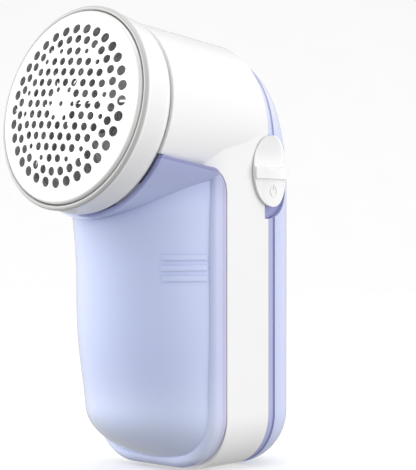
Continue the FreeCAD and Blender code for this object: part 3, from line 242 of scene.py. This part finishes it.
def cover_plastic(name):
    """Glossy lavender of the back cover, with painted shade that deepens it beside the parting
    and a painted highlight that makes it paler at the top.
    """
    material = moulded(name, LAVENDER, gloss=0.17, coat=0.5, scatter=0.1)
    tree = material.node_tree
    shader = tree.nodes["Principled BSDF"]
    # Painted shade: beside the parting and below the slider's top, where the recess falls in
    # shade, the cover is made darker.
    strip_end = 0.0181
    beside_parting = zone(tree, BACK, strip_end + SOFT_EDGE, strip_end)
    below_slider_top = zone(tree, UP, 0.103, 0.093)
    parting_shade = times(tree, beside_parting, below_slider_top)
    tint_where(tree, shader, parting_shade, (0.72, 0.70, 0.80))
    # Painted highlight: the top of the cover is made paler.
    tint_where(tree, shader, zone(tree, UP, 0.098, 0.118), (1.30, 1.22, 1.04))
    return material


def wrap_film(name, colour):
    """Shrink wrap of the battery cell: glossy film with fine creases round it."""
    material = moulded(name, colour, gloss=0.16, coat=0.5, peel=0.03)
    tree = material.node_tree
    creases = noise(tree, 0.004, detail=4.0, stretch=(1, 1, 0.25))
    add_bump(tree, tree.nodes["Principled BSDF"], creases, 0.05 * MM, 0.4)
    return material


def solder_mask(name):
    """Green board: copper tracks show faintly through the mask."""
    material, tree, shader = start_material(name)
    tracks = add_node(tree, "ShaderNodeTexBrick", Scale=420.0)
    tree.links.new(object_place(tree), tracks.inputs["Vector"])
    edge = spread(tree, tracks.outputs["Fac"], 0.0, 1.0, 0.0, 1.0)
    greens = blend_colours(tree, edge, (0.02, 0.13, 0.06), (0.03, 0.2, 0.09))
    tree.links.new(greens, shader.inputs["Base Color"])
    add_bump(tree, shader, edge, 0.02 * MM, 0.5)
    fine = noise(tree, 0.0008)
    tree.links.new(spread(tree, fine, 0.25, 0.4), shader.inputs["Roughness"])
    return material


def foam(name):
    """Open-cell foam: small pits all over."""
    material, tree, shader = start_material(name)
    cells = add_node(tree, "ShaderNodeTexVoronoi", Scale=1600.0)
    tree.links.new(object_place(tree), cells.inputs["Vector"])
    pits = spread(tree, cells.outputs["Distance"], 0.0, 1.0, 0.1, 0.6)
    greys = blend_colours(tree, pits, (0.03, 0.03, 0.032), (0.09, 0.09, 0.095))
    tree.links.new(greys, shader.inputs["Base Color"])
    add_bump(tree, shader, pits, 0.2 * MM, 0.8)
    shader.inputs["Roughness"].default_value = 0.9
    return material


FINISHES = {
    "white_shell": moulded("white_shell_finish", WHITE, gloss=0.2, coat=0.4, scatter=0.1),
    "trim_grey": moulded("trim_grey_finish", (0.50, 0.50, 0.49), gloss=0.32, coat=0.3),
    "lavender_cover": cover_plastic("lavender_cover_finish"),
    "lavender_bin": bin_plastic("lavender_bin_finish"),
    "foil_steel": foil_steel("foil_steel_finish"),
    "inner_white": moulded("inner_white_finish", (0.8, 0.8, 0.8), gloss=0.45),
    "motor_steel": metal("motor_steel_finish", (0.62, 0.62, 0.63), 0.3, grain=(1, 1, 0.1)),
    "black_plastic": moulded("black_plastic_finish", (0.02, 0.02, 0.022), gloss=0.4, peel=0.02),
    "brass": metal("brass_finish", (0.78, 0.6, 0.3), 0.28),
    "bronze": metal("bronze_finish", (0.55, 0.36, 0.2), 0.45, grain_size=0.0003, depth=0.02),
    "magnet": metal("magnet_finish", (0.09, 0.09, 0.095), 0.6, grain_size=0.0004, depth=0.03),
    "screw_steel": metal("screw_steel_finish", (0.55, 0.56, 0.58), 0.3, grain_size=0.0004),
    "ground_steel": metal("ground_steel_finish", (0.7, 0.7, 0.71), 0.18, grain=(1, 0.1, 1)),
    "core_steel": metal("core_steel_finish", (0.3, 0.3, 0.32), 0.42, grain=(0.05, 1, 0.05)),
    "copper": metal("copper_finish", (0.72, 0.33, 0.16), 0.25, (0.1, 1, 0.1), 0.0004, 0.03),
    "hub_grey": moulded("hub_grey_finish", (0.42, 0.42, 0.425), gloss=0.42, peel=0.02),
    "blade_steel": metal("blade_steel_finish", (0.66, 0.66, 0.67), 0.24, grain=(0.1, 1, 1)),
    # Painted shade: the slider track is lavender like the cover, but given a darker colour for
    # the shade of the recess it sits in.
    "lavender_track": moulded("lavender_track_shaded_finish", (0.35, 0.36, 0.66), gloss=0.4, peel=0.02),
    "tinned_steel": metal("tinned_steel_finish", (0.7, 0.7, 0.7), 0.22, grain_size=0.0005),
    "board_green": solder_mask("board_green_finish"),
    "cell_wrap": wrap_film("cell_wrap_finish", (0.03, 0.11, 0.35)),
    "foam": foam("foam_finish"),
    "lead_red": moulded("lead_red_finish", (0.5, 0.02, 0.02), gloss=0.4),
    "lead_black": moulded("lead_black_finish", (0.02, 0.02, 0.02), gloss=0.4),
}


def dress_nodes():
    """Give every CAD node the finish of its slot, and smooth its round faces."""
    slots = {part["node"]: part["material_slot"] for part in frame["record"]["subparts"]}
    for name, thing in NODES.items():
        thing.data.materials.clear()
        thing.data.materials.append(FINISHES[slots[name]])
        thing.data.shade_smooth()
        thing.data.set_sharp_from_angle(angle=math.radians(30))


# --------------------------------------------------------------------------------------
# Floor, light and camera
# --------------------------------------------------------------------------------------


def stage_finish():
    """Plain white paper with the faintest tooth."""
    material, tree, shader = start_material("stage_paper")
    tone = blend_colours(tree, noise(tree, 0.05), (0.62, 0.62, 0.625), (0.65, 0.65, 0.65))
    tree.links.new(tone, shader.inputs["Base Color"])
    shader.inputs["Roughness"].default_value = 0.9
    shader.inputs["Specular IOR Level"].default_value = 0.0
    shader.inputs["Emission Color"].default_value = (1, 1, 1, 1)
    shader.inputs["Emission Strength"].default_value = 0.39
    return material


def make_stage():
    """A sheet of white paper that lies flat and then curves up far behind the object."""
    near, far, side, bend, top = -6.0, 2.2, 6.0, 0.8, 4.0
    turn = math.radians(42.5)
    profile = [(near, 0.0), (far - bend, 0.0)]
    steps = 24
    for step in range(1, steps + 1):
        angle = math.pi / 2 * step / steps
        profile.append((far - bend + bend * math.sin(angle), bend - bend * math.cos(angle)))
    profile.append((far, top))
    verts = []
    for along, height in profile:
        for across in (-side, side):
            x = across * math.cos(turn) - along * math.sin(turn)
            y = across * math.sin(turn) + along * math.cos(turn)
            verts.append((x, y, height))
    faces = [(2 * i, 2 * i + 1, 2 * i + 3, 2 * i + 2) for i in range(len(profile) - 1)]
    mesh = bpy.data.meshes.new("stage")
    mesh.from_pydata(verts, [], faces)
    mesh.shade_smooth()
    mesh.materials.append(stage_finish())
    paper = bpy.data.objects.new("stage", mesh)
    paper.visible_diffuse = False
    paper.visible_glossy = False
    bpy.context.scene.collection.objects.link(paper)


def area_light(name, place, aim, size, power):
    """A square soft box at place, turned to shine at aim."""
    lamp = bpy.data.lights.new(name, "AREA")
    lamp.shape = "SQUARE"
    lamp.size = size
    lamp.energy = power
    thing = bpy.data.objects.new(name, lamp)
    thing.location = place
    thing.rotation_euler = (Vector(aim) - Vector(place)).to_track_quat("-Z", "Y").to_euler()
    bpy.context.scene.collection.objects.link(thing)


# The level direction that both bright sides of the studio lie along.
ACROSS = (0.737, 0.676, 0.0)


def make_sky():
    """Pale studio all round: bright overhead and on both sides, dimmer ahead and behind."""
    world = bpy.data.worlds.new("studio")
    bpy.context.scene.world = world
    world.use_nodes = True
    tree = world.node_tree
    place = add_node(tree, "ShaderNodeTexCoord")
    parts = add_node(tree, "ShaderNodeSeparateXYZ")
    tree.links.new(place.outputs["Generated"], parts.inputs["Vector"])
    level = spread(tree, parts.outputs["Z"], 0.0, 1.0, -1.0, 1.0)
    ramp = add_node(tree, "ShaderNodeValToRGB")
    tree.links.new(level, ramp.inputs["Fac"])
    low, high = ramp.color_ramp.elements
    middle = ramp.color_ramp.elements.new(0.5)
    for stop, shine in ((low, 0.33), (middle, 0.58), (high, 1.0)):
        stop.color = (shine, shine, shine, 1)
    sideways = add_node(tree, "ShaderNodeVectorMath", operation="DOT_PRODUCT")
    sideways.inputs[1].default_value = ACROSS
    tree.links.new(place.outputs["Generated"], sideways.inputs[0])
    squared = times(tree, sideways.outputs["Value"], sideways.outputs["Value"])
    background = tree.nodes["Background"]
    tree.links.new(ramp.outputs["Color"], background.inputs["Color"])
    tree.links.new(spread(tree, squared, 0.66, 1.8, 0.0, 1.0), background.inputs["Strength"])


def make_light():
    """Soft boxes: key from the front left, fill from the right, a big one overhead."""
    middle = (0.0, -0.01, 0.08)
    area_light("key_light", (-0.7, -0.75, 0.5), middle, 0.7, 4.0)
    area_light("fill_light", (0.95, 0.1, 0.35), middle, 0.7, 0.45)
    area_light("top_light", (0.1, 0.1, 1.0), middle, 0.8, 3.2)


def make_camera():
    """Eye level, looking level at the right front corner with a long lens."""
    lens = bpy.data.cameras.new("camera")
    lens.lens = 111.4
    lens.sensor_width = 36.0
    lens.clip_start = 0.01
    lens.clip_end = 30.0
    camera = bpy.data.objects.new("camera", lens)
    camera.location = (0.3153, -0.3279, 0.0720)
    camera.rotation_euler = (math.radians(90), 0.0, math.radians(42.53))
    bpy.context.scene.collection.objects.link(camera)
    bpy.context.scene.camera = camera


dress_nodes()
make_stage()
make_sky()
make_light()
make_camera()
bpy.context.scene.view_settings.view_transform = "Standard"
